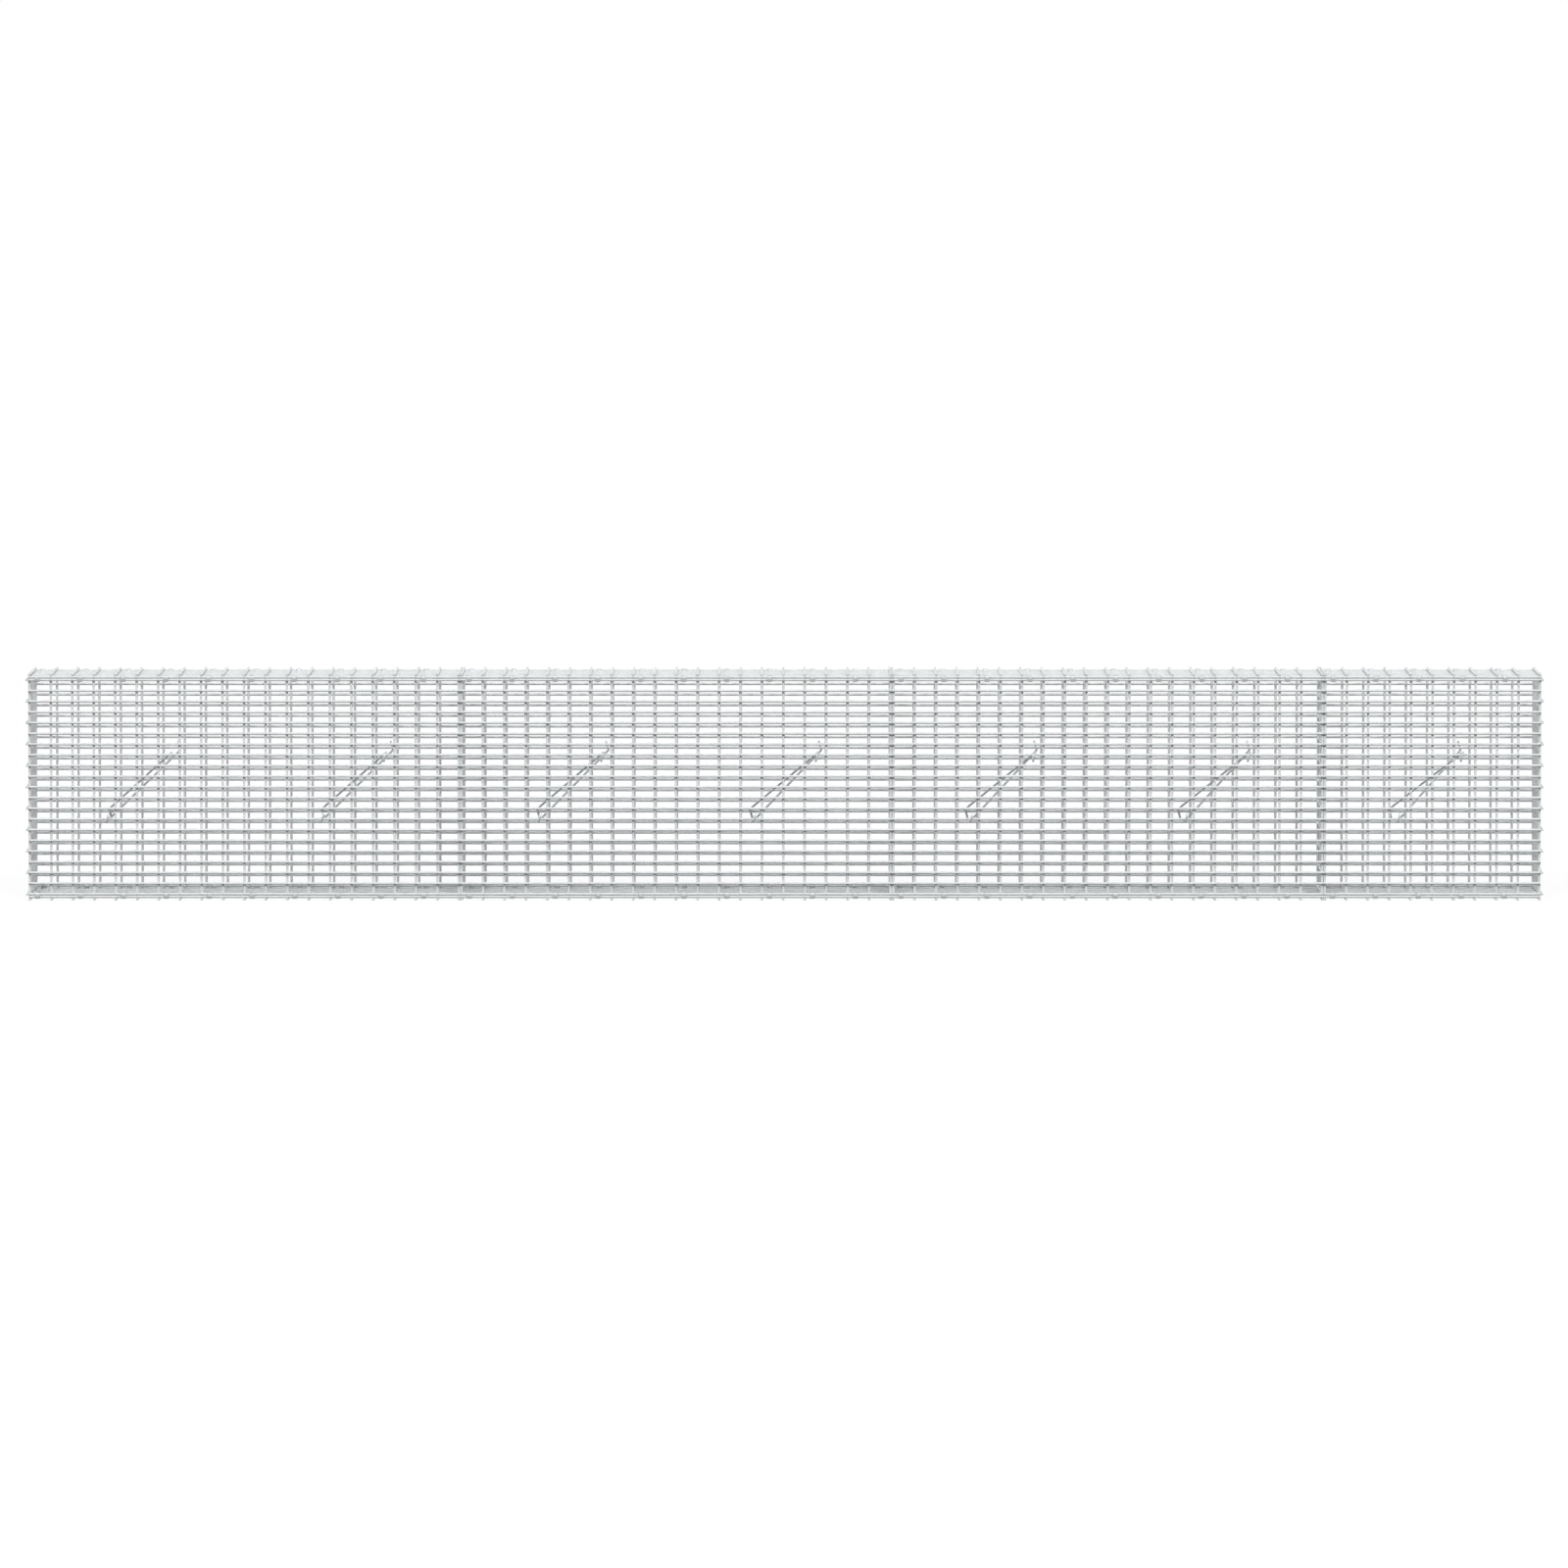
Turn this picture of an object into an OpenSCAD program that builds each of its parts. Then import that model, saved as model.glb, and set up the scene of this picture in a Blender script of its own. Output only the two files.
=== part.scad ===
// Gabion wall of four joined wire-mesh baskets, empty and tied shut.
// Millimetres, +Z up, +X along the wall, front face towards -Y,
// origin on the ground under the middle of the wall.

/* [Wall] */
// Length of each of the three long bays, between the centres of their end uprights
long_bay = 2000; // [1600:50:2400]
// Length of the last, short bay
short_bay = 1000; // [800:50:2000]
// Depth of the wall, between the centres of the front and back uprights
wall_depth = 500; // [300:10:1000]
// Height of the wall, between the centres of the lowest and highest front wires
wall_height = 1000; // [800:10:1500]

/* [Mesh] */
// Thickness of every mesh wire
wire_d = 12; // [5:0.5:14]
// Widest spacing of the uprights and of all wires in lids, floors and cross walls
cell_wide = 100; // [75:5:150]
// Widest spacing of the level wires in the front and back panels
cell_low = 50; // [40:5:100]

/* [Fasteners] */
// Spacing of the clips along the top and bottom edges, to the nearest whole cell
clip_pitch = 200; // [150:10:400]
// Distance of a clip from the upright before it
clip_start = 36; // [30:1:60]
// Length of one clip along the wire
clip_len = 24; // [12:1:30]
// Thickness of the clip's steel strip
clip_t = 2; // [1:0.5:3]
// Width of the open seam of a clip
clip_seam = 5; // [2:1:8]

/* [Tie rods] */
// Thickness of a tie rod
rod_d = 10; // [4:1:12]
// Where a pair's low ends hook on, in cells from the start of its stretch of wall
low_cell = 3.5; // [2.5:1:3.5]
// Where a pair's high ends hook on, in cells from the start of its stretch of wall
high_cell = 6.7; // [5.7:1:7.7]
// Height of the wire that the low ends hook on, above the lowest wire
low_hook = 350; // [200:10:400]
// Height of the wire that the high ends hook on, above the lowest wire
high_hook = 650; // [500:10:750]
// How far a hook's tip reaches past the middle of the wire that it holds
hook_tail = 32; // [15:1:40]
// How far a hook's tip leans towards the middle of its rod
hook_lean = 12; // [0:1:20]

/* [Hidden] */
// Play between a piece and what it rests on, hooks on or is clipped to
seat = 0.3;

bays = [long_bay, long_bay, long_bay, short_bay];
// Space between the end uprights of two neighbouring bays
bay_gap = wire_d + seat;
wall_len = sum(bays) + (len(bays) - 1) * bay_gap;

// Uprights stand in the front and back planes, level wires lie outside them
upright_y = wall_depth / 2;
level_y = upright_y + wire_d;
outer_y = level_y + wire_d / 2;

// Heights of the wire layers, from the ground up
floor_cross_z = wire_d / 2;
floor_long_z = floor_cross_z + wire_d;
first_z = floor_long_z + wire_d + seat;
last_z = first_z + wall_height;
lid_long_z = last_z + wire_d + seat;
lid_cross_z = lid_long_z + wire_d;
panel_foot = first_z - wire_d / 2;
panel_top = last_z + wire_d / 2;

// A clip is a ring round two stacked wires
clip_ri = norm([wire_d / 2, wire_d + seat / 2]) + seat;
clip_ro = clip_ri + clip_t;

// Tie rods hook round the level wires nearest to the asked heights
level_n = cells(wall_height, cell_low);
level_pitch = wall_height / level_n;
low_hook_z = first_z + round(low_hook / level_pitch) * level_pitch;
high_hook_z = first_z + round(high_hook / level_pitch) * level_pitch;
// Bay, stretch and step aside in cells of each pair: two stretches in a long bay, one in the short bay
PAIRS = [[0, 0, 0], [0, 1, 0], [1, 0, 0], [1, 1, 0], [2, 0, 0], [2, 1, 0], [3, 0, -0.2]];
STRETCHES = [2, 2, 2, 1];
// Room between a rod's centre line and the centre of the wire that it hooks on
hook_off = (wire_d + rod_d) / 2 + seat;
// The two rods of a pair pass side by side
rod_shift = 0.8 * rod_d;

function sum(v, n = 0) = n < len(v) ? v[n] + sum(v, n + 1) : 0;
function cells(span, widest) = max(1, round(span / widest));
function head(v, n) = n > 0 ? v[n - 1] + head(v, n - 1) : 0;
// Centre of a bay's first upright
function bay_x(b) = head(bays, b) + b * bay_gap - wall_len / 2;
function bay_end(b) = bay_x(b) + bays[b];

// A straight square wire from a to b, along X, Y or Z
module wire(a, b) {
    half = wire_d / 2;
    low = [for (i = [0 : 2]) min(a[i], b[i]) - (a[i] == b[i] ? half : 0)];
    high = [for (i = [0 : 2]) max(a[i], b[i]) + (a[i] == b[i] ? half : 0)];
    translate(low)
        cube(high - low);
}

// Front or back panel: uprights inside, level wires outside
module face_panel(b, side) {
    nx = cells(bays[b], cell_wide);
    x0 = bay_x(b);
    x1 = bay_end(b);
    color("gainsboro") {
        for (i = [0 : nx])
            wire([x0 + i * bays[b] / nx, side * upright_y, panel_foot],
                [x0 + i * bays[b] / nx, side * upright_y, panel_top]);
        for (i = [0 : level_n])
            wire([x0 - wire_d / 2, side * level_y, first_z + i * level_pitch],
                [x1 + wire_d / 2, side * level_y, first_z + i * level_pitch]);
    }
}

// Lid or floor: wires along the wall at long_z, wires across it at cross_z
module flat_panel(b, long_z, cross_z) {
    nx = cells(bays[b], cell_wide);
    ny = cells(wall_depth, cell_wide);
    x0 = bay_x(b);
    x1 = bay_end(b);
    color("lightgray") {
        for (i = [0 : nx])
            wire([x0 + i * bays[b] / nx, -outer_y, cross_z], [x0 + i * bays[b] / nx, outer_y, cross_z]);
        for (i = [0 : ny])
            wire([x0 - wire_d / 2, level_y * (2 * i / ny - 1), long_z],
                [x1 + wire_d / 2, level_y * (2 * i / ny - 1), long_z]);
    }
}

// Cross wall: uprights at x, level wires beside them at x_level, reaching reach each way
module cross_panel(x, x_level, reach) {
    side_y = upright_y - wire_d - seat;
    ny = cells(wall_depth, cell_wide);
    nz = cells(wall_height, cell_wide);
    color("silver") {
        for (i = [0 : ny])
            wire([x, side_y * (2 * i / ny - 1), panel_foot], [x, side_y * (2 * i / ny - 1), panel_top]);
        for (i = [0 : nz])
            wire([x_level, -reach, first_z + i * wall_height / nz],
                [x_level, reach, first_z + i * wall_height / nz]);
    }
}

// End wall: its level wires lie outside and lap over the corner uprights
module end_panel(side) {
    x = side * (wall_len / 2 + seat);
    cross_panel(x, x + side * wire_d, outer_y);
}

// Dividing wall between bay b and the next: it stands inside the front and back panels
module divider(b) {
    cross_panel(bay_x(b + 1), bay_end(b) + seat, upright_y - wire_d / 2 - seat);
}

// A clip: an open ring of strip round two wires, its seam turned to the inside
module clip(x, side, z) {
    translate([x, side * level_y, z])
        rotate([0, 90, 0])
            linear_extrude(height = clip_len, center = true)
                difference() {
                    circle(r = clip_ro, $fn = 48);
                    circle(r = clip_ri, $fn = 48);
                    translate([-clip_seam / 2, side > 0 ? -2 * clip_ro : 0])
                        square([clip_seam, 2 * clip_ro]);
                }
}

// All the clips of one edge, each beside an upright
module clip_row(side, z) {
    color("whitesmoke")
        for (b = [0 : len(bays) - 1]) {
            nx = cells(bays[b], cell_wide);
            cell = bays[b] / nx;
            for (i = [0 : cells(clip_pitch, cell) : nx - 1])
                clip(bay_x(b) + i * cell + clip_start, side, z);
        }
}

// A round bar between two points
module bar(a, b) {
    run = b - a;
    translate(a)
        rotate([0, acos(run[2] / norm(run)), atan2(run[1], run[0])])
            cylinder(h = norm(run), d = rod_d, $fn = 8);
}

// A tie rod along a list of points
module rod(path) {
    for (i = [0 : len(path) - 2])
        bar(path[i], path[i + 1]);
}

// One tie rod: a low hook at x0 on one side of the wall, a high hook at x1 on the other, both bent
// the same way. The rod that starts in front holds its wires from below, the other from above.
module tie_rod(x0, x1, side) {
    out = side * hook_off;
    low_y = side * level_y;
    high_y = -low_y;
    rod([
        [x0 + hook_lean, low_y + out, low_hook_z - side * hook_tail],
        [x0, low_y + out, low_hook_z + side * hook_off],
        [x0, low_y - out, low_hook_z + side * hook_off],
        [x1, high_y + out, high_hook_z + side * hook_off],
        [x1, high_y - out, high_hook_z + side * hook_off],
        [x1 - hook_lean, high_y - out, high_hook_z - side * hook_tail]
    ]);
}

// The crossed pair of tie rods number n
module tie_rods(n) {
    b = PAIRS[n][0];
    nx = cells(bays[b], cell_wide);
    cell = bays[b] / nx;
    x = bay_x(b) + (PAIRS[n][1] * floor(nx / STRETCHES[b]) + PAIRS[n][2]) * cell;
    color("darkgray")
        for (side = [-1, 1])
            tie_rod(x + low_cell * cell - side * rod_shift, x + high_cell * cell - side * rod_shift, side);
}

floor_clip_z = (floor_long_z + first_z) / 2;
lid_clip_z = (last_z + lid_long_z) / 2;

face_panel(0, -1);  // front_panel_1
face_panel(1, -1);  // front_panel_2
face_panel(2, -1);  // front_panel_3
face_panel(3, -1);  // front_panel_4
face_panel(0, 1);  // back_panel_1
face_panel(1, 1);  // back_panel_2
face_panel(2, 1);  // back_panel_3
face_panel(3, 1);  // back_panel_4
flat_panel(0, lid_long_z, lid_cross_z);  // lid_1
flat_panel(1, lid_long_z, lid_cross_z);  // lid_2
flat_panel(2, lid_long_z, lid_cross_z);  // lid_3
flat_panel(3, lid_long_z, lid_cross_z);  // lid_4
flat_panel(0, floor_long_z, floor_cross_z);  // floor_1
flat_panel(1, floor_long_z, floor_cross_z);  // floor_2
flat_panel(2, floor_long_z, floor_cross_z);  // floor_3
flat_panel(3, floor_long_z, floor_cross_z);  // floor_4
end_panel(-1);  // left_end_panel
end_panel(1);  // right_end_panel
divider(0);  // divider_1
divider(1);  // divider_2
divider(2);  // divider_3
tie_rods(0);  // tie_rods_1
tie_rods(1);  // tie_rods_2
tie_rods(2);  // tie_rods_3
tie_rods(3);  // tie_rods_4
tie_rods(4);  // tie_rods_5
tie_rods(5);  // tie_rods_6
tie_rods(6);  // tie_rods_7
clip_row(-1, lid_clip_z);  // front_lid_clips
clip_row(1, lid_clip_z);  // back_lid_clips
clip_row(-1, floor_clip_z);  // front_floor_clips
clip_row(1, floor_clip_z);  // back_floor_clips
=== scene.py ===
# %% [markdown]
# # A gabion wall of four wire baskets
# A gabion wall is a row of wire baskets that are filled with stone. This one stands empty: four
# baskets with lids, tied across by crossed rods and closed with clips, all of galvanized steel.
# The wall is nearly all air, so it could be made as flat sheets with holes painted in. That fails
# as soon as somebody looks along it. Here every wire is a round bar with a mesh of its own, and
# the solid model, which is already true to size, says where each one lies.

import math

import bpy
import numpy as np
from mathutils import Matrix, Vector


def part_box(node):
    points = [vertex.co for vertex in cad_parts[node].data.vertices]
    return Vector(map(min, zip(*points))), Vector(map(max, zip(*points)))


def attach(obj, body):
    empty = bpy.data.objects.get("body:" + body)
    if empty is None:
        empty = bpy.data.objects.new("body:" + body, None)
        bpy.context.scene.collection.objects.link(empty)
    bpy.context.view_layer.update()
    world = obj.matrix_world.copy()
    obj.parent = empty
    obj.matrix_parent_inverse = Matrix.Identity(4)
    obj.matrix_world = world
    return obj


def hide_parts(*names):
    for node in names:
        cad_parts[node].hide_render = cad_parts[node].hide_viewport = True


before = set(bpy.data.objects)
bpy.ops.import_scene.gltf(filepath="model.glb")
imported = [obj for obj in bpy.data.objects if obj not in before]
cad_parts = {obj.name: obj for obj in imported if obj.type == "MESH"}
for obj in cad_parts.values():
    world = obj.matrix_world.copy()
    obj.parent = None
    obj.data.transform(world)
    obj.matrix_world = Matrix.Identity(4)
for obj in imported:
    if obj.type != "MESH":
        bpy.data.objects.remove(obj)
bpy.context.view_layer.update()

# %% [markdown]
# ## The sizes that the baskets share
# A welded panel is made of two layers of wire, laid on each other crosswise and welded at every
# crossing. A few sizes describe all of them: the wire's thickness and the widths of the cells. The
# other places come from the corners of the solid model's nodes, so nothing is measured twice.

# %% Counts, and sizes in metres
BAYS = 4
ROD_PAIRS = 7
WIRE_R = 0.006
ROD_R = 0.005
SEAT = 0.0003
CELL_WIDE = 0.100
CELL_LOW = 0.050
CLIP_START = 0.036
CLIP_LEN = 0.024
ROD_SHIFT = 0.008
HOOK_OFF = WIRE_R + ROD_R + SEAT
HOOK_TAIL = 0.032
HOOK_LEAN = 0.012
X, Y, Z = np.eye(3)


def places(low, high, widest):
    """Evenly spaced places from low to high, as near to widest apart as they come."""
    return np.linspace(low, high, max(1, round((high - low) / widest)) + 1)


def node_box(node):
    """A node's lowest and highest corner as arrays."""
    low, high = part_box(node)
    return np.array(low), np.array(high)


face_low, face_high = node_box("front_panel_1")
LEVEL_Y = -(face_low[1] + WIRE_R)
UPRIGHT_Y = -(face_high[1] - WIRE_R)
SIDE_Y = UPRIGHT_Y - 2 * WIRE_R - SEAT
LEVELS = places(face_low[2] + WIRE_R, face_high[2] - WIRE_R, CELL_LOW)
print("level wires", len(LEVELS), "at y", round(LEVEL_Y, 4), "uprights at y", round(UPRIGHT_Y, 4))

# %% [markdown]
# ## A tray that collects the parts of one piece
# Thousands of short bars and welds make one panel. Blender's operators are slow when they are
# called that often, so each part is worked out as arrays of points and faces, and a tray joins
# them into one mesh at the end. Each corner of a face also gets two flat coordinates: how far it
# is along and around its wire, for the marks that the drawing die leaves, and a place of its own
# on a square sheet, so that the finish can be baked to an image later.


# %% The tray
CUT_HEAT = 0.5
CAP_RADIUS = 0.003
END_MARGIN = 0.01
LANE_MARGIN = 0.06


class Tray:
    """Collects rings of points with the faces between them, and makes one mesh of them."""

    def __init__(self, lanes):
        self.lanes = lanes
        self.lane = 0
        self.points, self.heat, self.faces, self.run, self.sheet = [], [], [], [], []
        self.count = 0

    def strip(self, rings, heat, along, around, spot=None, caps=True, closed=False):
        """Adds a tube. rings is (n, sides, 3), heat and along are (n,), around is its girth."""
        n, sides = rings.shape[:2]
        base = self.count
        self.points.append(rings.reshape(-1, 3))
        self.heat.append(np.repeat(heat, sides))
        self.count += n * sides
        lane, left, width = spot if spot else (self.lane, 0.0, 1.0)
        if spot is None:
            self.lane += 1
        spans = n if closed else n - 1
        i, k = np.meshgrid(np.arange(spans), np.arange(sides), indexing="ij")
        i, k = i.ravel(), k.ravel()
        i2, k2 = (i + 1) % n, (k + 1) % sides
        self.faces += (base + np.stack([i * sides + k, i * sides + k2, i2 * sides + k2,
                                        i2 * sides + k], 1)).tolist()
        far = np.append(along, along[-1] + (along[1] - along[0]))
        u = np.stack([far[i], far[i], far[i + 1], far[i + 1]], 1)
        v = np.stack([k, k + 1, k + 1, k], 1) / sides
        self.run.append(np.stack([u, v * around], 2).reshape(-1, 2))
        share = (u - far[0]) / max(far[spans] - far[0], 1e-9)
        u_sheet = left + width * (END_MARGIN + (1 - 2 * END_MARGIN) * share)
        v_sheet = (lane + LANE_MARGIN + (1 - 2 * LANE_MARGIN) * v) / self.lanes
        self.sheet.append(np.stack([u_sheet, v_sheet], 2).reshape(-1, 2))
        if caps:
            self.cap(base, sides, rings[0], False, lane, left, width)
            self.cap(base + (n - 1) * sides, sides, rings[-1], True, lane, left, width)

    def cap(self, first, sides, ring, outward, lane, left, width):
        """Closes one end of a tube with a flat face of its own."""
        order = list(range(sides)) if outward else list(range(sides))[::-1]
        base = self.count
        self.points.append(ring)
        self.heat.append(np.full(sides, CUT_HEAT))
        self.count += sides
        self.faces.append([base + k for k in order])
        turn = np.array(order) * 2 * math.pi / sides
        disc = np.stack([np.cos(turn), np.sin(turn)], 1)
        self.run.append(disc * CAP_RADIUS)
        end = left + width * (0.996 if outward else 0.004)
        self.sheet.append(np.stack([end + disc[:, 0] * CAP_RADIUS * width,
                                    (lane + 0.5 + 0.3 * disc[:, 1]) / self.lanes], 1))

    def mesh(self, name):
        """The mesh of everything that was collected."""
        made = bpy.data.meshes.new(name)
        made.from_pydata(np.concatenate(self.points).tolist(), [], self.faces)
        for label, corners in (("OFBake", self.sheet), ("wire_run", self.run)):
            layer = made.uv_layers.new(name=label)
            layer.uv.foreach_set("vector", np.concatenate(corners).astype(np.float32).ravel())
        heat = made.attributes.new("weld_heat", "FLOAT", "POINT")
        heat.data.foreach_set("value", np.concatenate(self.heat).astype(np.float32))
        made.polygons.foreach_set("use_smooth", np.ones(len(self.faces), bool))
        made.update()
        return made


print("a tray is ready for each piece")

# %% [markdown]
# ## A welded wire
# Mesh wire is drawn round through a die, cut to length by a shear and laid on the wires that cross
# it. The welder presses each crossing, so both wires sink a little into each other there, and the
# heat leaves a duller patch. A plain cylinder would show none of it. The wire here is a tube with
# three rings at each weld, which bend it towards the other wire, and a chamfered end ring where
# the shear has rolled the edge. Real panels are never quite straight either, so each wire wanders
# by a fraction of a millimetre.

# %% One welded wire
WIRE_SIDES = 10
PRESS_IN = 0.0003
WELD_REACH = 0.009
HEAT_REACH = WELD_REACH * 1.2
WANDER = 0.00025
WIRE_CHAMFER = 0.0011
CUT_SHARE = 0.8
END_CLEAR = 0.001
ANY_PLACE = 50


def ring_of(centre, a, b, radius, sides):
    """Points round a centre. They run from a towards b."""
    turn = np.arange(sides) * 2 * math.pi / sides
    return centre + radius * (np.outer(np.cos(turn), a) + np.outer(np.sin(turn), b))


def welded_wire(tray, start, end, welds, towards, rng):
    """A straight wire from start to end. welds are distances along it, towards is the side of the
    wires that it is welded to."""
    start, end = np.array(start, float), np.array(end, float)
    length = np.linalg.norm(end - start)
    t = (end - start) / length
    b = np.cross(t, towards)
    stops = {WIRE_CHAMFER, length - WIRE_CHAMFER}
    for w in welds:
        stops |= {w - WELD_REACH, w, w + WELD_REACH}
    inside = sorted(s for s in stops if END_CLEAR < s < length - END_CLEAR)
    stops = np.array([0.0] + inside + [length])
    near = np.abs(stops[:, None] - np.array(welds)[None, :]).min(1)
    press = PRESS_IN * np.clip(1 - near / WELD_REACH, 0, 1)
    heat = np.clip(1 - near / HEAT_REACH, 0, 1)
    radius = np.full(len(stops), WIRE_R)
    radius[0] = radius[-1] = WIRE_R * CUT_SHARE
    wave = rng.uniform(0.6, 1.6)
    side = WANDER * np.sin(stops / wave * math.pi + rng.uniform(0, 6.28))
    rings = np.stack([
        ring_of(start + t * s + towards * p + b * w, np.array(towards), b, r, WIRE_SIDES)
        for s, p, w, r in zip(stops, press, side, radius)
    ])
    tray.strip(rings, heat, stops + rng.uniform(0, ANY_PLACE), 2 * math.pi * WIRE_R)


print("a welded wire has", WIRE_SIDES, "sides and sinks", PRESS_IN * 1000, "mm at each weld")

# %% [markdown]
# ## A weld
# Where two wires were pressed together, a little metal is squeezed out into the corner between
# them. It could be a ball, but a real one follows both wires: it rises along one and drops along
# the other, like a saddle. A short tube of three rings makes that shape with few faces, which
# matters because the wall has more than four thousand of them.

# %% One weld
WELD_R = 0.0047
WELD_SIDES = 8
WELD_HALF = 0.0020
SADDLE = 0.0008
WELD_HEAT = 0.85


def weld(tray, centre, up, along, rng, spot):
    """A saddle of squeezed metal between the wire above, which runs along, and the one below."""
    across = np.cross(up, along)
    turn = np.arange(WELD_SIDES) * 2 * math.pi / WELD_SIDES
    spread = WELD_R * (1 + rng.uniform(-0.14, 0.14, WELD_SIDES))
    rings = []
    for height, share, saddle in ((-WELD_HALF, 0.6, 0.0), (0.0, 1.0, SADDLE), (WELD_HALF, 0.6, 0.0)):
        out = np.outer(np.cos(turn), along) + np.outer(np.sin(turn), across)
        lift = height - saddle * np.cos(2 * turn)
        rings.append(centre + out * (spread * share)[:, None] + np.outer(lift, up))
    tray.strip(np.stack(rings), np.full(3, WELD_HEAT), np.array([0.0, 0.003, 0.006]),
               2 * math.pi * WELD_R, spot, caps=False)


print("a weld has", WELD_SIDES, "sides")

# %% [markdown]
# ## A welded panel
# Every panel of the wall, whether a face, a lid, a floor or a cross wall, is the same thing: one
# layer of wires along a first direction, one layer along a second, a weld at each crossing. So one
# function builds them all from two lists of places, and only the directions change. Each panel
# draws its small differences from a numbered random source, so it comes out the same every time.

# %% One welded panel
WELDS_PER_LANE = 90


def welded_panel(name, seed, first, second, up):
    """first and second are layers: (direction, its start and end, cross direction, places, height).
    up points from the second layer to the first."""
    rng = np.random.default_rng(seed)
    way_a, span_a, way_b, places_a, height_a = first
    _, span_b, _, places_b, height_b = second
    crossings = len(places_a) * len(places_b)
    wires = len(places_a) + len(places_b)
    tray = Tray(wires + math.ceil(crossings / WELDS_PER_LANE))
    axis = np.abs(up)
    for p in places_a:
        at = way_b * p + axis * height_a
        welded_wire(tray, at + way_a * span_a[0], at + way_a * span_a[1],
                    places_b - span_a[0], -up, rng)
    for p in places_b:
        at = way_a * p + axis * height_b
        welded_wire(tray, at + way_b * span_b[0], at + way_b * span_b[1],
                    places_a - span_b[0], up, rng)
    middle = axis * (height_a + height_b) / 2
    slot = 0
    for p in places_a:
        for q in places_b:
            spot = (wires + slot // WELDS_PER_LANE, slot % WELDS_PER_LANE / WELDS_PER_LANE,
                    0.9 / WELDS_PER_LANE)
            weld(tray, way_b * p + way_a * q + middle, up, way_a, rng, spot)
            slot += 1
    return tray.mesh(name)


face_uprights = places(face_low[0] + WIRE_R, face_high[0] - WIRE_R, CELL_WIDE)
print("a long face will have", len(face_uprights) * len(LEVELS), "welds")

# %% [markdown]
# ## The finish: galvanized wire
# Galvanized wire has a coat of zinc. Fresh zinc is bright, bluish and faintly blotched where its
# crystals met, with fine lines that the die drew along the wire. Weather dulls it to a paler,
# rougher skin, most on top, and the heat of a weld burns it dull and dark. The wires, the rods and
# the clips all need these effects, so each one is a shader node group that is built once and
# placed in each material. The rods and the clips have no welds: there the burn only dulls the cut
# ends, where the shear left bare steel.

# %% Helpers for node groups


def group(name, inputs, outputs):
    """An empty shader node group with named sockets, with its input and output nodes."""
    tree = bpy.data.node_groups.new(name, "ShaderNodeTree")
    for label, kind, value in inputs:
        socket = tree.interface.new_socket(name=label, in_out="INPUT", socket_type=kind)
        if value is not None:
            socket.default_value = value
    for label, kind in outputs:
        tree.interface.new_socket(name=label, in_out="OUTPUT", socket_type=kind)
    return tree, tree.nodes.new("NodeGroupInput"), tree.nodes.new("NodeGroupOutput")


def node(tree, kind, settings=None, **inputs):
    """A node with its settings made and its inputs filled or linked."""
    made = tree.nodes.new(kind)
    for key, value in (settings or {}).items():
        setattr(made, key, value)
    for key, value in inputs.items():
        socket = made.inputs[int(key[1:])] if key[0] == "i" and key[1:].isdigit() else made.inputs[key]
        if isinstance(value, bpy.types.NodeSocket):
            tree.links.new(value, socket)
        else:
            socket.default_value = value
    return made


def math_node(tree, operation, a, b=0.0, clamp=False):
    """One step of arithmetic."""
    settings = {"operation": operation, "use_clamp": clamp}
    return node(tree, "ShaderNodeMath", settings, i0=a, i1=b).outputs[0]


def fade(tree, value, low, high, to_low=0.0, to_high=1.0):
    """A smooth change from to_low to to_high while the value goes from low to high."""
    made = node(tree, "ShaderNodeMapRange", {"interpolation_type": "SMOOTHSTEP"}, Value=value)
    for label, number in (("From Min", low), ("From Max", high), ("To Min", to_low),
                          ("To Max", to_high)):
        made.inputs[label].default_value = number
    return made.outputs["Result"]


print("helpers for node groups are ready")

# %% [markdown]
# ### Zinc crystals
# Zinc freezes into flat crystals, each of which throws light back a little differently. On wire
# they are small and soft-edged. Voronoi cells with a random value each give the patches, and a
# cloudy noise under them keeps the pattern from looking regular.

# %% The group for zinc crystals
crystals, g_in, g_out = group(
    "Zinc crystals",
    [("Cells Per Metre", "NodeSocketFloat", 170.0), ("Cloud Scale", "NodeSocketFloat", 9.0)],
    [("Crystal", "NodeSocketFloat"), ("Cloud", "NodeSocketFloat")],
)
place = node(crystals, "ShaderNodeTexCoord").outputs["Object"]
cell = node(crystals, "ShaderNodeTexVoronoi", {"feature": "SMOOTH_F1"}, Vector=place, Smoothness=0.35)
crystals.links.new(g_in.outputs["Cells Per Metre"], cell.inputs["Scale"])
patch = node(crystals, "ShaderNodeSeparateColor", Color=cell.outputs["Color"]).outputs["Red"]
cloud = node(crystals, "ShaderNodeTexNoise", Vector=place, Detail=4.0, Roughness=0.6)
crystals.links.new(g_in.outputs["Cloud Scale"], cloud.inputs["Scale"])
crystals.links.new(patch, g_out.inputs["Crystal"])
crystals.links.new(fade(crystals, cloud.outputs["Fac"], 0.3, 0.7), g_out.inputs["Cloud"])
print("zinc crystals:", len(crystals.nodes), "nodes")

# %% [markdown]
# ### Drawing lines
# A drawn wire carries fine lines along its length. They can't come from a texture in space, which
# would run through wires of every direction the same way. The coordinate that the tray stored,
# along and around each wire, is stretched instead: slow along the wire, quick around it.

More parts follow.
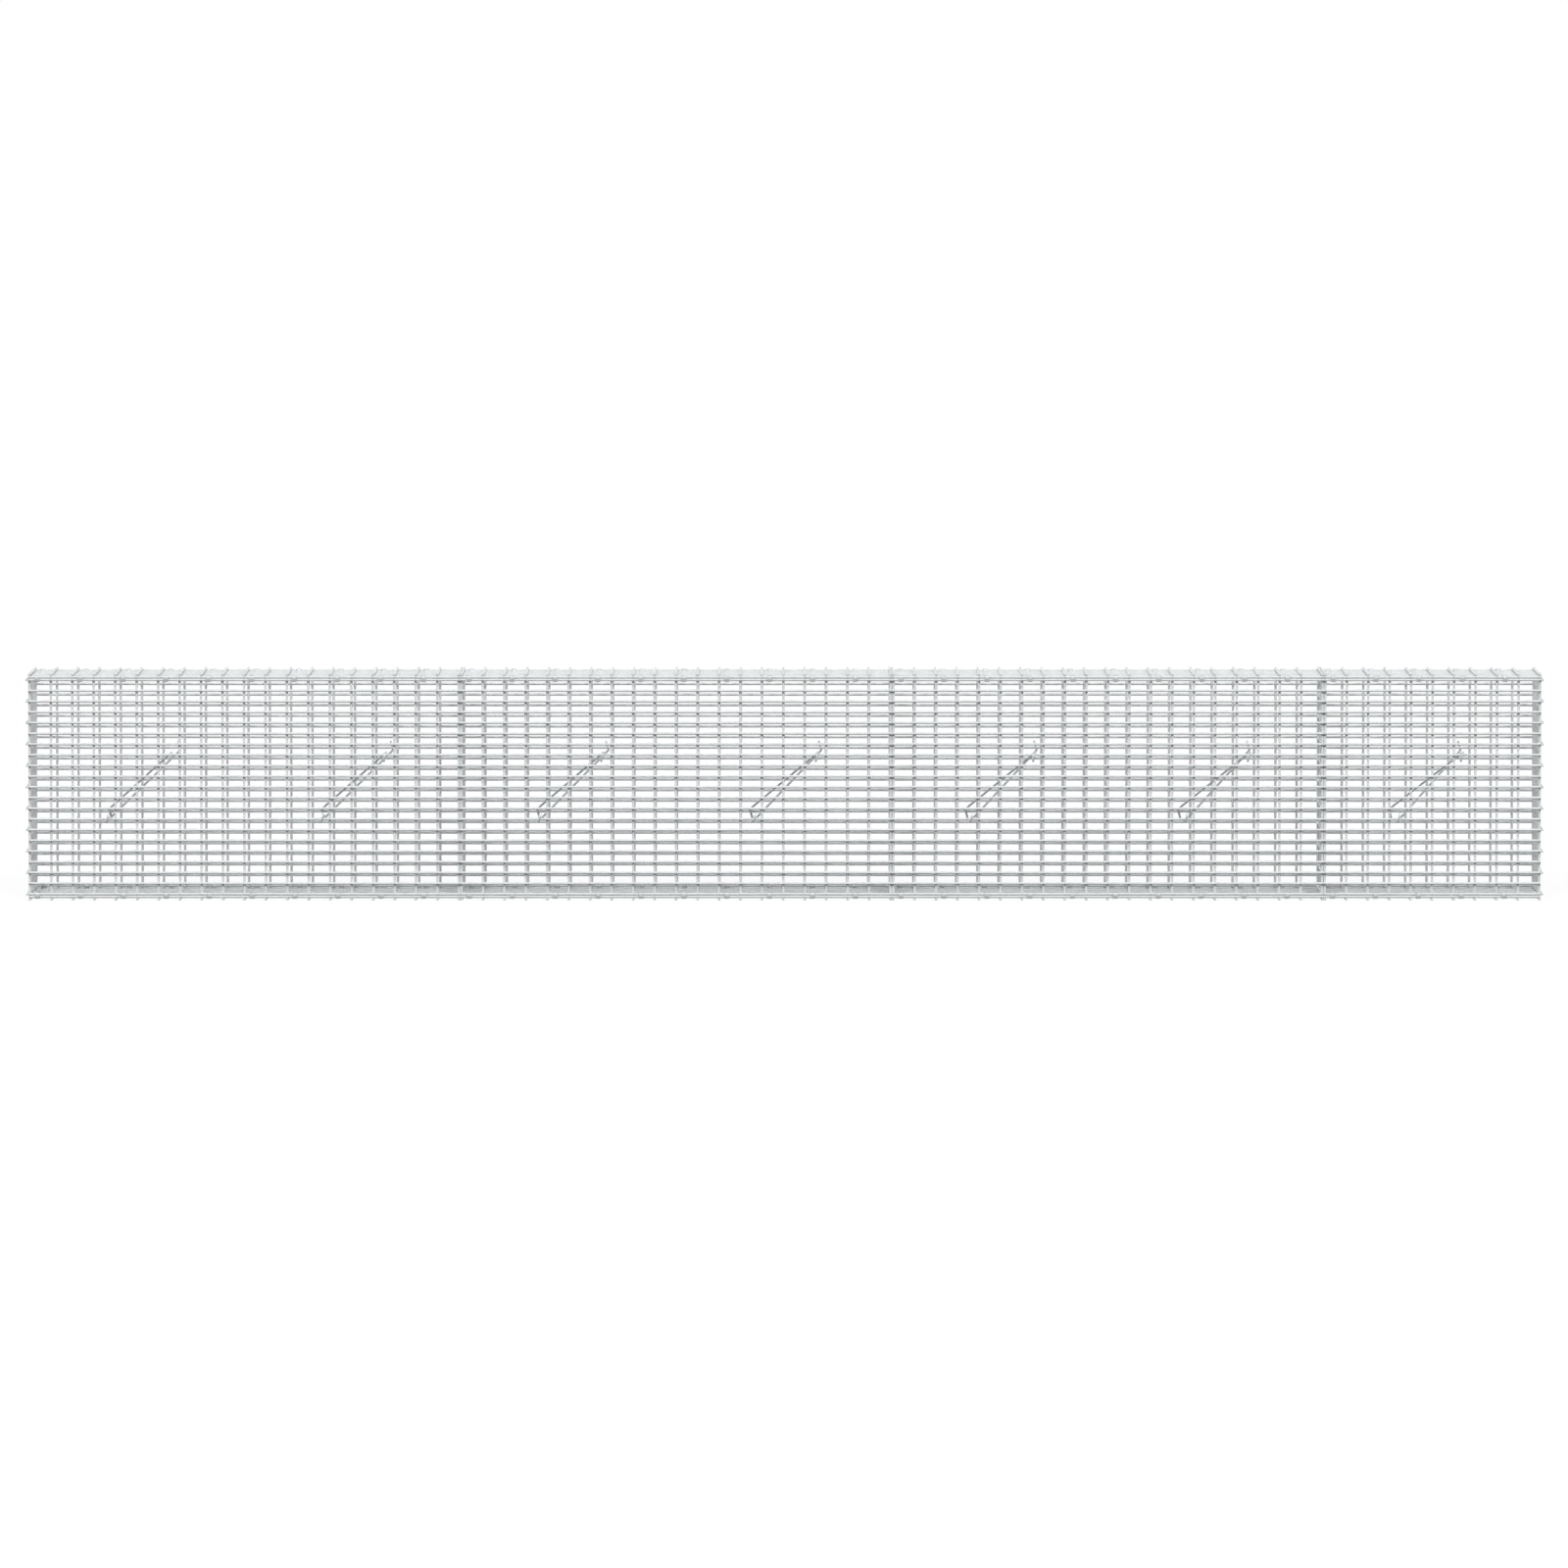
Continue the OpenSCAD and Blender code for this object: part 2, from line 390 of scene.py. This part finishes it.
# %% The group for drawing lines
lines, g_in, g_out = group(
    "Drawing lines",
    [("Lines Per Metre", "NodeSocketFloat", 2600.0), ("Stretch", "NodeSocketFloat", 0.012)],
    [("Line", "NodeSocketFloat"), ("Broken Line", "NodeSocketFloat")],
)
run = node(lines, "ShaderNodeUVMap", {"uv_map": "wire_run"}).outputs["UV"]
split = node(lines, "ShaderNodeSeparateXYZ", Vector=run)
slow = math_node(lines, "MULTIPLY", split.outputs["X"], g_in.outputs["Stretch"])
drawn = node(lines, "ShaderNodeCombineXYZ", X=slow, Y=split.outputs["Y"]).outputs["Vector"]
fine = node(lines, "ShaderNodeTexNoise", Vector=drawn, Detail=2.0)
lines.links.new(g_in.outputs["Lines Per Metre"], fine.inputs["Scale"])
coarse = node(lines, "ShaderNodeTexNoise", Vector=drawn, Scale=420.0, Detail=3.0)
lines.links.new(fade(lines, fine.outputs["Fac"], 0.35, 0.65), g_out.inputs["Line"])
lines.links.new(fade(lines, coarse.outputs["Fac"], 0.52, 0.68), g_out.inputs["Broken Line"])
print("drawing lines:", len(lines.nodes), "nodes")

# %% [markdown]
# ### Weld heat
# The tray wrote how near each point is to a weld. Used as it is, that would give a neat band, so a
# noise eats into its edge and leaves the uneven burn of a real spot weld.

# %% The group for weld heat
heat_marks, g_in, g_out = group(
    "Weld heat",
    [("Raggedness", "NodeSocketFloat", 0.55)],
    [("Burn", "NodeSocketFloat")],
)
near_weld = node(heat_marks, "ShaderNodeAttribute", {"attribute_name": "weld_heat"}).outputs["Fac"]
place = node(heat_marks, "ShaderNodeTexCoord").outputs["Object"]
rag = node(heat_marks, "ShaderNodeTexNoise", Vector=place, Scale=330.0, Detail=3.0).outputs["Fac"]
rag = math_node(heat_marks, "MULTIPLY", rag, g_in.outputs["Raggedness"])
burn = math_node(heat_marks, "SUBTRACT", near_weld, rag)
heat_marks.links.new(fade(heat_marks, burn, 0.12, 0.62), g_out.inputs["Burn"])
print("weld heat:", len(heat_marks.nodes), "nodes")

# %% [markdown]
# ### Weather skin
# Rain and air turn zinc to a pale, dull skin. It is thickest where water stands, so it follows how
# far a surface looks up, broken by noise. Dust collects in the same places.

# %% The group for the weather skin
weather, g_in, g_out = group(
    "Weather skin",
    [("Amount", "NodeSocketFloat", 0.5)],
    [("Skin", "NodeSocketFloat")],
)
facing = node(weather, "ShaderNodeNewGeometry").outputs["Normal"]
looks_up = node(weather, "ShaderNodeSeparateXYZ", Vector=facing).outputs["Z"]
place = node(weather, "ShaderNodeTexCoord").outputs["Object"]
blots = node(weather, "ShaderNodeTexNoise", Vector=place, Scale=38.0, Detail=5.0, Roughness=0.65)
top = fade(weather, looks_up, -0.2, 1.0, 0.25, 1.0)
skin = math_node(weather, "MULTIPLY", top, fade(weather, blots.outputs["Fac"], 0.38, 0.66))
skin = math_node(weather, "MULTIPLY", skin, g_in.outputs["Amount"])
weather.links.new(skin, g_out.inputs["Skin"])
print("weather skin:", len(weather.nodes), "nodes")

# %% [markdown]
# ### One recipe for three kinds of zinc
# The wires, the rods and the clips are all zinc on steel, but not the same zinc: the mesh is welded
# from wire that had its zinc already, the rods are cut from other wire, the clips from rolled strip.
# One function mixes the groups into a material. It takes the tones, the gloss, how metallic the
# finish is, and how strong its weather skin and its bumps are. The metal itself stays a plain
# Principled shader with its constants set on its own sockets.

# %% The zinc recipe
DARKER_CRYSTAL = 0.93
LIGHTER_CRYSTAL = 1.05
BURN_SHARE = 0.3
RELIEF_DEPTH = 0.0004


def zinc(name, clean, dull, burnt, gloss, weathering, relief, metal):
    """A galvanized finish. clean, dull and burnt are its tones, gloss its lowest roughness,
    weathering the strength of its skin, relief that of its bumps, metal how metallic it is."""
    made = bpy.data.materials.new(name)
    made.use_nodes = True
    tree = made.node_tree
    shader = tree.nodes["Principled BSDF"]
    parts = {}
    for label, source in (("crystals", crystals), ("lines", lines), ("heat", heat_marks),
                          ("weather", weather)):
        parts[label] = tree.nodes.new("ShaderNodeGroup")
        parts[label].node_tree = source
    parts["weather"].inputs["Amount"].default_value = weathering
    crystal = parts["crystals"].outputs["Crystal"]
    cloud = parts["crystals"].outputs["Cloud"]
    line = parts["lines"].outputs["Line"]
    broken = parts["lines"].outputs["Broken Line"]
    burn = parts["heat"].outputs["Burn"]
    skin = parts["weather"].outputs["Skin"]

    def blend_colour(share, a, b):
        mix = node(tree, "ShaderNodeMix", {"data_type": "RGBA"})
        for index, value in ((0, share), (6, a), (7, b)):
            if isinstance(value, bpy.types.NodeSocket):
                tree.links.new(value, mix.inputs[index])
            else:
                mix.inputs[index].default_value = value
        return mix.outputs[2]

    darker = tuple(c * DARKER_CRYSTAL for c in clean) + (1.0,)
    lighter = tuple(min(1.0, c * LIGHTER_CRYSTAL) for c in clean) + (1.0,)
    tone = blend_colour(fade(tree, crystal, 0.2, 0.8), darker, lighter)
    tone = blend_colour(math_node(tree, "MULTIPLY", cloud, 0.35), tone, dull + (1.0,))
    tone = blend_colour(math_node(tree, "MULTIPLY", broken, 0.22), tone, darker)
    tone = blend_colour(skin, tone, dull + (1.0,))
    tone = blend_colour(math_node(tree, "MULTIPLY", burn, BURN_SHARE), tone, burnt + (1.0,))
    tree.links.new(tone, shader.inputs["Base Color"])

    rough = math_node(tree, "MULTIPLY_ADD", crystal, 0.10)
    rough.node.inputs[2].default_value = gloss
    rough = math_node(tree, "ADD", rough, math_node(tree, "MULTIPLY", line, 0.05))
    rough = math_node(tree, "ADD", rough, math_node(tree, "MULTIPLY", skin, 0.28))
    rough = math_node(tree, "ADD", rough, math_node(tree, "MULTIPLY", burn, 0.2), clamp=True)
    tree.links.new(rough, shader.inputs["Roughness"])

    oxide = math_node(tree, "MAXIMUM", skin, math_node(tree, "MULTIPLY", burn, 0.7))
    shine = math_node(tree, "MULTIPLY", oxide, -0.5 * metal)
    shine = math_node(tree, "ADD", shine, metal, clamp=True)
    tree.links.new(shine, shader.inputs["Metallic"])
    shader.inputs["Specular Tint"].default_value = (0.5, 0.5, 0.5, 1.0)

    height = math_node(tree, "MULTIPLY", line, 0.35)
    height = math_node(tree, "ADD", height, math_node(tree, "MULTIPLY", crystal, 0.5))
    height = math_node(tree, "ADD", height, math_node(tree, "MULTIPLY", burn, 0.8))
    bump = node(tree, "ShaderNodeBump", Height=height)
    bump.inputs["Strength"].default_value = relief
    bump.inputs["Distance"].default_value = RELIEF_DEPTH
    tree.links.new(bump.outputs["Normal"], shader.inputs["Normal"])
    return made


wire_zinc = zinc("galvanized mesh wire", (0.64, 0.66, 0.665), (0.66, 0.67, 0.675), (0.53, 0.54, 0.54),
                 0.36, 0.4, 0.5, 0.15)
rod_zinc = zinc("bright tie rod zinc", (0.50, 0.52, 0.53), (0.48, 0.49, 0.50), (0.38, 0.38, 0.38),
                0.24, 0.25, 0.35, 0.35)
clip_zinc = zinc("clip strip zinc", (0.51, 0.525, 0.53), (0.54, 0.55, 0.55), (0.40, 0.40, 0.40),
                 0.26, 0.3, 0.3, 0.30)
print("three finishes:", wire_zinc.name, "/", rod_zinc.name, "/", clip_zinc.name)

# %% [markdown]
# ## Put each piece in its place
# A piece is finished the same way each time: its mesh becomes an object, it gets its finish, it
#  rides with the wall, and it takes the place of the node of the solid model that it was made from,
#  which is hidden.

# %% Finish a piece


def finish_piece(mesh, stands_for, zinc_finish):
    """Makes the object, with its finish, in place of its node."""
    piece = bpy.data.objects.new(mesh.name, mesh)
    bpy.context.scene.collection.objects.link(piece)
    mesh.materials.append(zinc_finish)
    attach(piece, "root")
    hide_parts(stands_for)
    return piece


# %% [markdown]
# ## The front and back faces
# Each basket has a face in front and one behind. Their uprights stand inside, every 100 mm, and
# the level wires lie outside, every 50 mm, which gives the wall its fine lines. The back is the
# same panel turned round, so its layers only change sides.

# %% Faces
seed = 0
for side, word in ((-1, "front"), (1, "back")):
    for bay in range(1, BAYS + 1):
        source = f"{word}_panel_{bay}"
        low, high = node_box(source)
        uprights = places(low[0] + WIRE_R, high[0] - WIRE_R, CELL_WIDE)
        seed += 1
        mesh = welded_panel(
            f"{word}_face_wires_{bay}", seed,
            (X, (low[0], high[0]), Z, LEVELS, side * LEVEL_Y),
            (Z, (low[2], high[2]), X, uprights, side * UPRIGHT_Y),
            Y * side,
        )
        finish_piece(mesh, source, wire_zinc)
        print(mesh.name, len(mesh.vertices), "points")

# %% [markdown]
# ## The lids and floors
# A lid lies on the faces: six wires run along the wall, and the cross wires lie on top of them,
# one over each upright. The floor is the same panel turned over, so that the wall stands on its
# cross wires.

# %% Lids and floors
for word, turned in (("lid", 1), ("floor", -1)):
    for bay in range(1, BAYS + 1):
        source = f"{word}_{bay}"
        low, high = node_box(source)
        cross = places(low[0] + WIRE_R, high[0] - WIRE_R, CELL_WIDE)
        along = places(-LEVEL_Y, LEVEL_Y, CELL_WIDE)
        outer, inner = (high[2] - WIRE_R, low[2] + WIRE_R)[::turned]
        seed += 1
        mesh = welded_panel(
            f"{word}_wires_{bay}", seed,
            (Y, (low[1], high[1]), X, cross, outer),
            (X, (low[0], high[0]), Y, along, inner),
            Z * turned,
        )
        finish_piece(mesh, source, wire_zinc)
        print(mesh.name, len(mesh.vertices), "points")

# %% [markdown]
# ## The end panels and the dividing walls
# At each end, and between the baskets, a panel stands across the wall. It has six uprights and
# eleven level wires. At the ends the level wires lie outside and lap over the corners; in between
# they fit inside the faces.

# %% Cross walls
for source, out in (("left_end_panel", -1), ("right_end_panel", 1), ("divider_1", -1),
                    ("divider_2", -1), ("divider_3", -1)):
    low, high = node_box(source)
    inner, outer = (low[0] + WIRE_R, high[0] - WIRE_R)[::out]
    seed += 1
    mesh = welded_panel(
        f"{source}_wires", seed,
        (Y, (low[1], high[1]), Z, places(low[2] + WIRE_R, high[2] - WIRE_R, CELL_WIDE), outer),
        (Z, (low[2], high[2]), Y, places(-SIDE_Y, SIDE_Y, CELL_WIDE), inner),
        X * out,
    )
    finish_piece(mesh, source, wire_zinc)
    print(mesh.name, len(mesh.vertices), "points")

# %% [markdown]
# ## The tie rods
# Stone pushes the faces apart, so each metre of wall has two rods across it, which cross in the
# middle. Each rod holds a level wire low down on one side and one higher up on the other. Both
# its hooks are bent the same way: one rod of a pair holds its wires from below, the other from
# above. A hook is bent round a pin, so its corners are arcs: the straight route of the rod is
# rounded at each corner, and a ring of points is swept along it. Such a sweep must not twist, so
# each ring takes over the direction of the last one, turned as little as it has to be.

# %% A rod bent along a route
ROD_SIDES = 12
ARC_STEPS = 7
ROD_CHAMFER = 0.0009
ROD_CUT_SHARE = 0.78
RINGS_BETWEEN = 12
ROD_SEED = 100


def rounded(route, radius):
    """The route with an arc at each corner."""
    smooth = [route[0]]
    for before, corner, after in zip(route, route[1:], route[2:]):
        a = (before - corner) / np.linalg.norm(before - corner)
        b = (after - corner) / np.linalg.norm(after - corner)
        half = math.acos(np.clip(a @ b, -1, 1)) / 2
        reach = min(radius / math.tan(half), 0.499 * np.linalg.norm(before - corner),
                    0.499 * np.linalg.norm(after - corner))
        size = reach * math.tan(half)
        middle = corner + (a + b) / np.linalg.norm(a + b) * size / math.sin(half)
        from_a, from_b = corner + a * reach - middle, corner + b * reach - middle
        turn = math.acos(np.clip(from_a @ from_b / size**2, -1, 1))
        for step in np.linspace(0, 1, ARC_STEPS):
            smooth.append(middle + (from_a * math.sin((1 - step) * turn)
                                    + from_b * math.sin(step * turn)) / math.sin(turn))
    smooth.append(route[-1])
    return np.array(smooth)


def bent_rod(tray, route, radius, rng):
    """Sweeps a round rod along the route, with a chamfer at each end."""
    path = rounded(route, HOOK_OFF)
    tips = [path[0] + (path[1] - path[0]) * s / np.linalg.norm(path[1] - path[0])
            for s in (0.0, ROD_CHAMFER)]
    tails = [path[-1] + (path[-2] - path[-1]) * s / np.linalg.norm(path[-2] - path[-1])
             for s in (ROD_CHAMFER, 0.0)]
    long_run = int(np.argmax(np.linalg.norm(np.diff(path, axis=0), axis=1)))
    between = [path[long_run] + (path[long_run + 1] - path[long_run]) * s
               for s in np.linspace(0, 1, RINGS_BETWEEN + 2)[1:-1]]
    path = np.array(tips + list(path[1:long_run + 1]) + between + list(path[long_run + 1:-1]) + tails)
    steps = np.linalg.norm(np.diff(path, axis=0), axis=1)
    lengths = np.concatenate([[0], np.cumsum(steps)])
    heads = np.diff(path, axis=0) / steps[:, None]
    heads = np.concatenate([heads[:1], heads[:-1] + heads[1:], heads[-1:]])
    heads /= np.linalg.norm(heads, axis=1)[:, None]
    a = np.cross(heads[0], X)
    rings = []
    for i, (centre, head) in enumerate(zip(path, heads)):
        a = a - head * (a @ head)
        a /= np.linalg.norm(a)
        size = radius * (ROD_CUT_SHARE if i in (0, len(path) - 1) else 1.0)
        rings.append(ring_of(centre, a, np.cross(head, a), size, ROD_SIDES))
    tray.strip(np.stack(rings), np.zeros(len(path)), lengths + rng.uniform(0, ANY_PLACE),
               2 * math.pi * radius)


print("a rod is bent in", ARC_STEPS, "steps at each corner")

# %% The crossed pairs of rods
for pair in range(1, ROD_PAIRS + 1):
    source = f"tie_rods_{pair}"
    low, high = node_box(source)
    rng = np.random.default_rng(ROD_SEED + pair)
    tray = Tray(2)
    near_x = low[0] + ROD_R + ROD_SHIFT
    far_x = high[0] - ROD_R - ROD_SHIFT
    low_wire = LEVELS[np.argmin(abs(LEVELS - (low[2] + HOOK_TAIL)))]
    high_wire = LEVELS[np.argmin(abs(LEVELS - (high[2] - HOOK_TAIL)))]
    for side in (-1, 1):
        out = side * HOOK_OFF
        here, there = side * LEVEL_Y, -side * LEVEL_Y
        x0, x1 = near_x - side * ROD_SHIFT, far_x - side * ROD_SHIFT
        route = np.array([
            (x0 + HOOK_LEAN, here + out, low_wire - side * HOOK_TAIL),
            (x0, here + out, low_wire + out),
            (x0, here - out, low_wire + out),
            (x1, there + out, high_wire + out),
            (x1, there - out, high_wire + out),
            (x1 - HOOK_LEAN, there - out, high_wire - side * HOOK_TAIL),
        ])
        bent_rod(tray, route, ROD_R, rng)
    mesh = tray.mesh(f"crossed_rods_{pair}")
    finish_piece(mesh, source, rod_zinc)
    print(mesh.name, len(mesh.vertices), "points, on wires", round(low_wire, 3), round(high_wire, 3))

# %% [markdown]
# ## The clips
# The edge wires of two panels lie on each other, and a clip wraps round both. It is a short piece
# of steel strip, pressed into an oval by pliers, with its seam on the inside of the basket. The
# strip's own section, a flat bar with rounded edges and a slight crown, is swept round the oval.

# %% One clip
CLIP_T = 0.0019
CLIP_GAP = 0.0022
CLIP_TURN = 26
CLIP_PLAY = 0.0005
CLIP_CURL = 0.0007
CURL_REACH = 0.004
CLIP_LEAN = 0.0006


def clip(tray, centre, side, rng, spot):
    """A strip bent round two wires that lie on each other. side is where its back faces."""
    inner = WIRE_R + CLIP_PLAY
    half = WIRE_R + SEAT / 2
    straight, bend = 2 * half, math.pi * (inner + CLIP_T / 2)
    total = 2 * straight + 2 * bend
    r = inner + CLIP_T / 2
    lengths = np.linspace(CLIP_GAP / 2, total - CLIP_GAP / 2, CLIP_TURN)
    crown = np.array([(-0.5, 0.0), (-0.475, 0.42), (-0.25, 0.62), (0.0, 0.70), (0.25, 0.62),
                      (0.475, 0.42), (0.5, 0.0), (0.475, -0.42), (0.0, -0.5), (-0.475, -0.42)])
    width = CLIP_LEN * rng.uniform(0.96, 1.0)
    lean = rng.uniform(-CLIP_LEAN, CLIP_LEAN)
    rings = []
    for s in lengths:
        if s < half:
            y, z, ny, nz = -r, s, -1.0, 0.0
        elif s < half + bend:
            a = (s - half) / r
            y, z, ny, nz = -r * math.cos(a), half + r * math.sin(a), -math.cos(a), math.sin(a)
        elif s < half + bend + straight:
            y, z, ny, nz = r, half - (s - half - bend), 1.0, 0.0
        elif s < half + 2 * bend + straight:
            a = (s - half - bend - straight) / r
            y, z, ny, nz = r * math.cos(a), -half - r * math.sin(a), math.cos(a), -math.sin(a)
        else:
            y, z, ny, nz = -r, -half + (s - half - 2 * bend - straight), -1.0, 0.0
        curl = CLIP_CURL * max(0.0, 1 - min(s, total - s) / CURL_REACH)
        strip = np.array([
            (across * width + lean * z / half, side * (y + ny * (t * CLIP_T - curl)),
             z + nz * (t * CLIP_T - curl))
            for across, t in crown
        ])
        rings.append(centre + (strip if side < 0 else strip[::-1]))
    tray.strip(np.stack(rings), np.zeros(CLIP_TURN), lengths + rng.uniform(0, ANY_PLACE),
               2.2 * width, spot)


print("a clip turns in", CLIP_TURN, "steps")

# %% The four rows of clips
CLIPS_PER_LANE = 6
CLIP_SEED = 214
CLIP_ROWS = (("front_lid", -1), ("back_lid", 1), ("front_floor", -1), ("back_floor", 1))

clipped = []
for bay in range(1, BAYS + 1):
    low, high = node_box(f"front_panel_{bay}")
    clipped += list(places(low[0] + WIRE_R, high[0] - WIRE_R, CELL_WIDE)[:-1:2])

for row_seed, (word, side) in enumerate(CLIP_ROWS, CLIP_SEED):
    source = f"{word}_clips"
    low, high = node_box(source)
    rng = np.random.default_rng(row_seed)
    tray = Tray(math.ceil(len(clipped) / CLIPS_PER_LANE))
    for slot, x in enumerate(clipped):
        centre = np.array([x + CLIP_START, side * LEVEL_Y, (low[2] + high[2]) / 2])
        spot = (slot // CLIPS_PER_LANE, slot % CLIPS_PER_LANE / CLIPS_PER_LANE, 0.95 / CLIPS_PER_LANE)
        clip(tray, centre, side, rng, spot)
    mesh = tray.mesh(f"{word}_edge_clips")
    finish_piece(mesh, source, clip_zinc)
    print(mesh.name, len(clipped), "clips")

# %% [markdown]
# ## The floor and the light
# The wall stands on a plain pale floor, in front of nothing. The floor shines white by itself for
# the camera and for reflections, with a share of a plain matt floor mixed in that still takes the
# wall's shadow. Round wire shows its shape only if its underside is darker than its face, so the
# floor throws little light back up, and two lamps stand high in front. They stand a little to
# either side, because from straight ahead each upright of an end panel would hide the next one
# from the light. Broader lamps at the sides, and broad weak ones behind, keep the wall readable
# from all round.

# %% Floor
HALF_FLOOR = 60.0
FLOOR_DROP = 0.0004
GLOW_STRENGTH = 1.05
GLOW_SHARE = 0.85
floor_mesh = bpy.data.meshes.new("studio_floor")
floor_mesh.from_pydata([(-HALF_FLOOR, -HALF_FLOOR, 0), (HALF_FLOOR, -HALF_FLOOR, 0),
                        (HALF_FLOOR, HALF_FLOOR, 0), (-HALF_FLOOR, HALF_FLOOR, 0)], [], [(0, 1, 2, 3)])
floor = bpy.data.objects.new("studio_floor", floor_mesh)
floor.location.z = -FLOOR_DROP
bpy.context.scene.collection.objects.link(floor)
paper = bpy.data.materials.new("white paper floor")
paper.use_nodes = True
tree = paper.node_tree
tree.nodes.remove(tree.nodes["Principled BSDF"])
rays = node(tree, "ShaderNodeLightPath")
seen = math_node(tree, "MAXIMUM", rays.outputs["Is Camera Ray"], rays.outputs["Is Glossy Ray"])
seen = math_node(tree, "MAXIMUM", seen, rays.outputs["Is Transmission Ray"])
matt = node(tree, "ShaderNodeBsdfDiffuse", Color=(0.8, 0.8, 0.8, 1.0)).outputs["BSDF"]
glow = node(tree, "ShaderNodeEmission", Strength=GLOW_STRENGTH).outputs["Emission"]
both = tree.nodes.new("ShaderNodeMixShader")
both.inputs[0].default_value = GLOW_SHARE
tree.links.new(matt, both.inputs[1])
tree.links.new(glow, both.inputs[2])
dark_matt = node(tree, "ShaderNodeBsdfDiffuse", Color=(0.04, 0.042, 0.045, 1.0)).outputs["BSDF"]
shown = tree.nodes.new("ShaderNodeMixShader")
tree.links.new(seen, shown.inputs[0])
tree.links.new(dark_matt, shown.inputs[1])
tree.links.new(both.outputs[0], shown.inputs[2])
tree.links.new(shown.outputs[0], tree.nodes["Material Output"].inputs["Surface"])
floor_mesh.materials.append(paper)
print("floor", 2 * HALF_FLOOR, "m wide")

# %% World and lamps
ROOM_STRENGTH = 0.12
world = bpy.data.worlds.new("white studio")
bpy.context.scene.world = world
world.use_nodes = True
tree = world.node_tree
tree.nodes.clear()
rays = node(tree, "ShaderNodeLightPath")
seen = math_node(tree, "MAXIMUM", rays.outputs["Is Camera Ray"], rays.outputs["Is Glossy Ray"])
seen = math_node(tree, "MAXIMUM", seen, rays.outputs["Is Transmission Ray"])
white = node(tree, "ShaderNodeBackground", Color=(1, 1, 1, 1), Strength=1.0).outputs[0]
room = node(tree, "ShaderNodeBackground", Color=(0.93, 0.97, 1.0, 1.0),
            Strength=ROOM_STRENGTH).outputs[0]
pick = tree.nodes.new("ShaderNodeMixShader")
tree.links.new(seen, pick.inputs[0])
tree.links.new(room, pick.inputs[1])
tree.links.new(white, pick.inputs[2])
tree.links.new(pick.outputs[0], node(tree, "ShaderNodeOutputWorld").inputs["Surface"])


def soft_lamp(name, towards, strength, width_deg):
    """A far lamp that shines towards a direction, as wide in the sky as width_deg."""
    data = bpy.data.lights.new(name, "SUN")
    data.energy = strength
    data.angle = math.radians(width_deg)
    lamp = bpy.data.objects.new(name, data)
    lamp.rotation_mode = "QUATERNION"
    lamp.rotation_quaternion = Vector(towards).to_track_quat("-Z", "Y")
    bpy.context.scene.collection.objects.link(lamp)
    return lamp


for word, way in (("left", 1), ("right", -1)):
    soft_lamp(f"key_lamp_{word}", (0.22 * way, 0.75, -0.62), 1.2, 10)
    soft_lamp(f"side_lamp_{word}", (0.9 * way, 0.35, -0.35), 1.3, 20)
    soft_lamp(f"back_lamp_{word}", (0.5 * way, -0.8, -0.3), 0.7, 20)

# %% [markdown]
# ## The camera
# Seen from close by, the mesh behind would look a few percent smaller than the mesh in front, and
# the two would cross each other all over the wall. From nearly sixty metres off, with a long lens,
# they almost line up, and the eye looks only four degrees down. The little that is left of the
# difference still shows the inside of the basket at both ends.

# %% Camera
LENS_MM = 291.1
SENSOR_MM = 36.0
EYE = Vector((-0.003, -59.2, 4.6))
AIM = Vector((-0.003, -UPRIGHT_Y, 0.544))
camera_data = bpy.data.cameras.new("long_lens")
camera_data.lens = LENS_MM
camera_data.sensor_width = SENSOR_MM
camera_data.clip_end = 400.0
camera = bpy.data.objects.new("long_lens", camera_data)
camera.location = EYE
camera.rotation_mode = "QUATERNION"
camera.rotation_quaternion = (AIM - EYE).to_track_quat("-Z", "Y")
bpy.context.scene.collection.objects.link(camera)
bpy.context.scene.camera = camera
bpy.context.scene.view_settings.view_transform = "Standard"
print("camera at", [round(v, 2) for v in EYE], "with a", LENS_MM, "mm lens")
